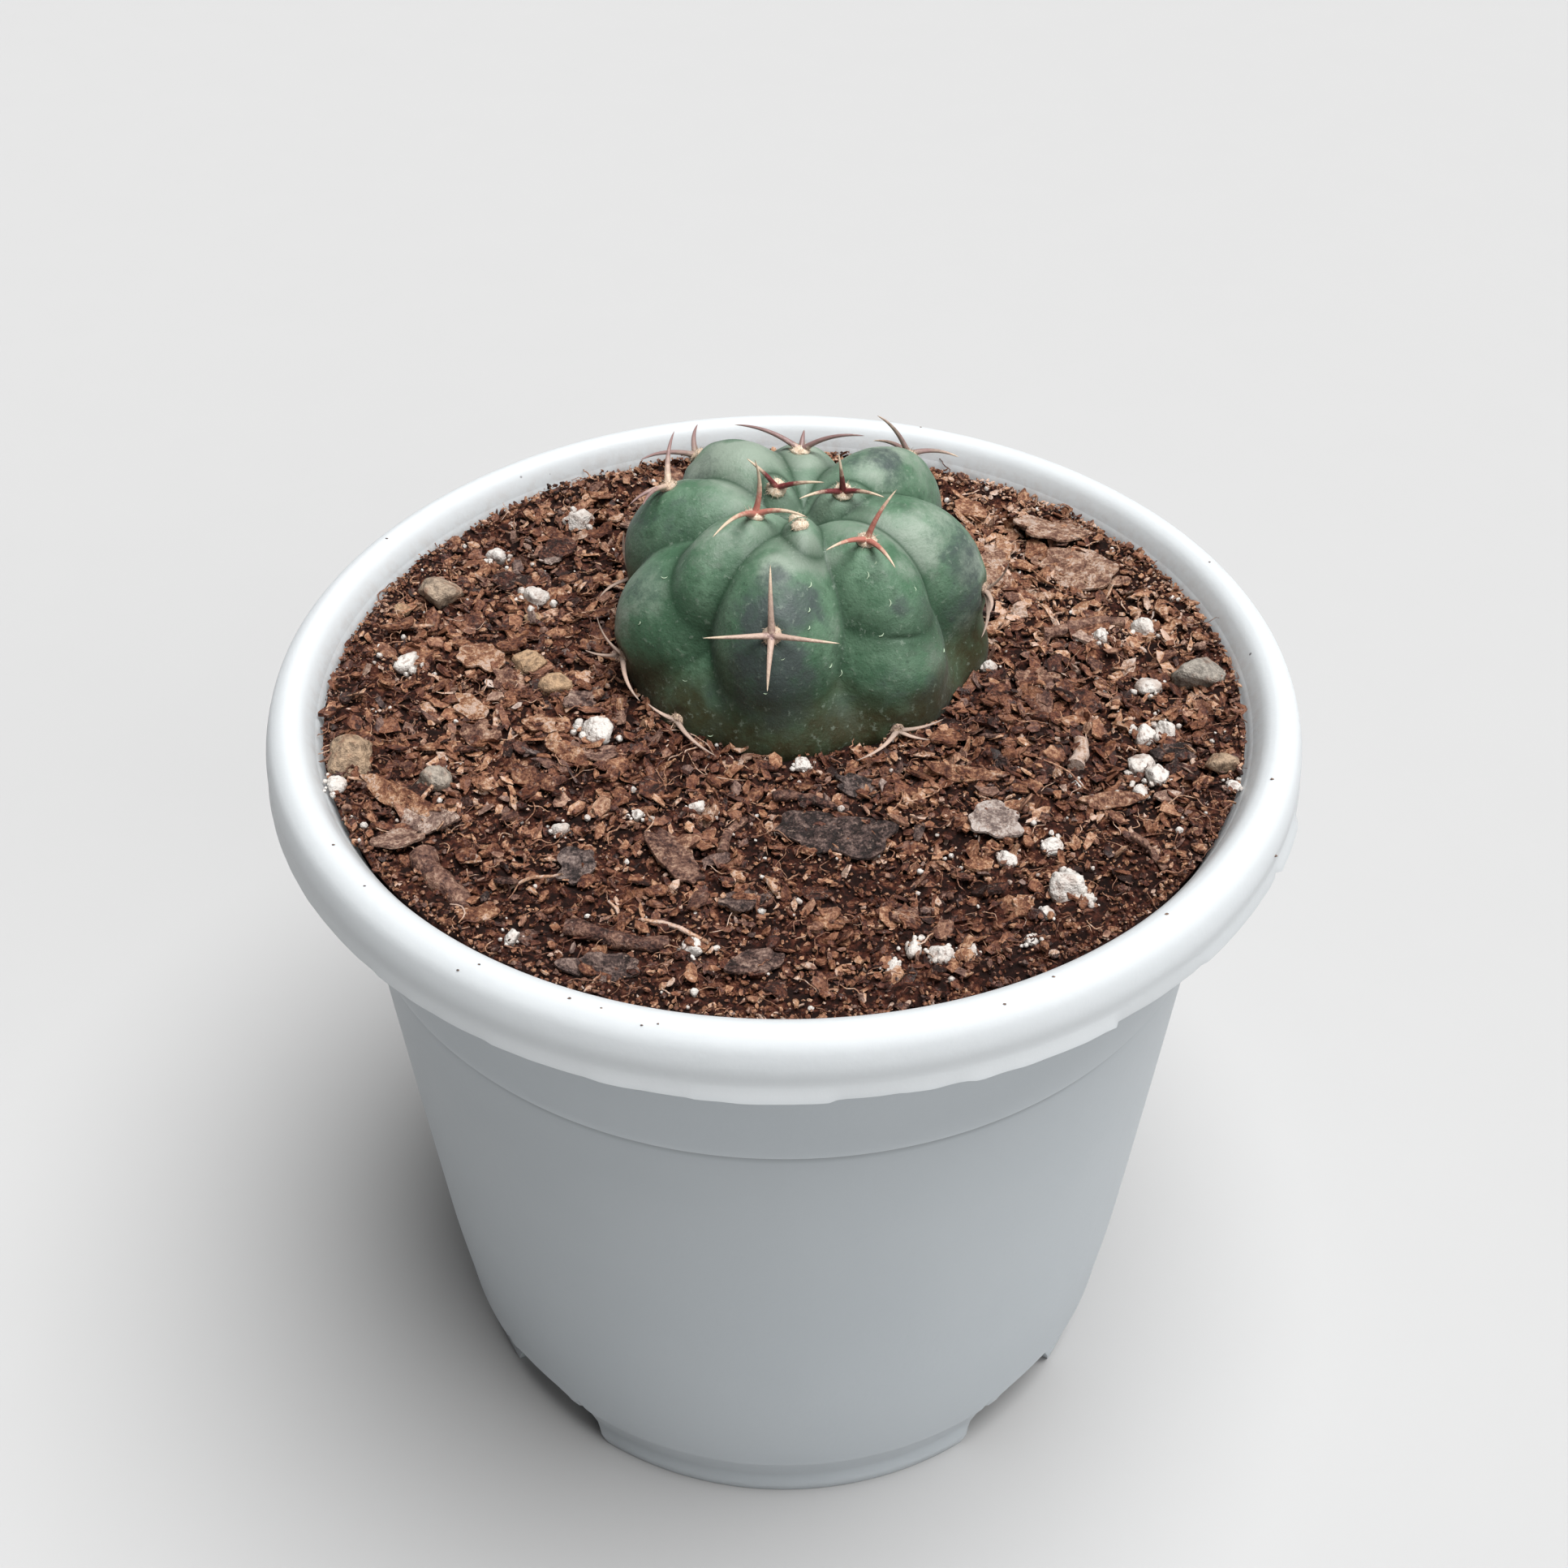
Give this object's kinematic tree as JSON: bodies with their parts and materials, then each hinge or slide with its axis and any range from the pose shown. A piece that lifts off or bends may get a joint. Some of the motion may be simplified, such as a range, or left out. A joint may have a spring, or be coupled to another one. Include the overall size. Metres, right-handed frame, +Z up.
{
  "type": "potted thelocactus",
  "caption": "Small ribbed globular cactus with spined tubercles, planted in bark and perlite soil in a plain round plastic nursery pot.",
  "frame": {"origin": "centre of the pot's base, on the surface it stands on", "axes": "+Z up, along the pot's axis; the side seen in the picture faces -Y; +X to its right"},
  "size_m": [0.1062, 0.1062, 0.1116],
  "materials": {
    "pot_plastic": "white moulded polypropylene, semi-gloss",
    "soil": "damp bark and coir mix with perlite, matte",
    "cactus_skin": "waxy green skin with a grey-blue bloom, matte",
    "felt": "cream felt",
    "spines_young": "dark red spines with cream tips, satin",
    "spines_grown": "bone-coloured spines with a pinkish base, satin",
    "spines_old": "weathered grey-bone spines, matte"
  },
  "bodies": {
    "root": {"pot": "pot_plastic", "soil": "soil", "cactus_body": "cactus_skin", "felt_front": "felt", "felt_crown": "felt", "spines_front": "spines_grown", "spines_right_front": "spines_young", "spines_left_front": "spines_young", "spines_crown_left": "spines_young", "spines_crown_right": "spines_young", "spines_left": "spines_grown", "spines_back": "spines_young", "spines_back_left": "spines_grown", "spines_back_right": "spines_grown", "spines_right": "spines_old", "spines_left_front_low": "spines_old", "spines_right_front_low": "spines_old", "spines_left_front_base": "spines_old", "spines_left_low": "spines_old", "spines_back_right_low": "spines_old", "spines_back_low": "spines_old", "spines_back_left_low": "spines_old"}
  },
  "joints": []
}
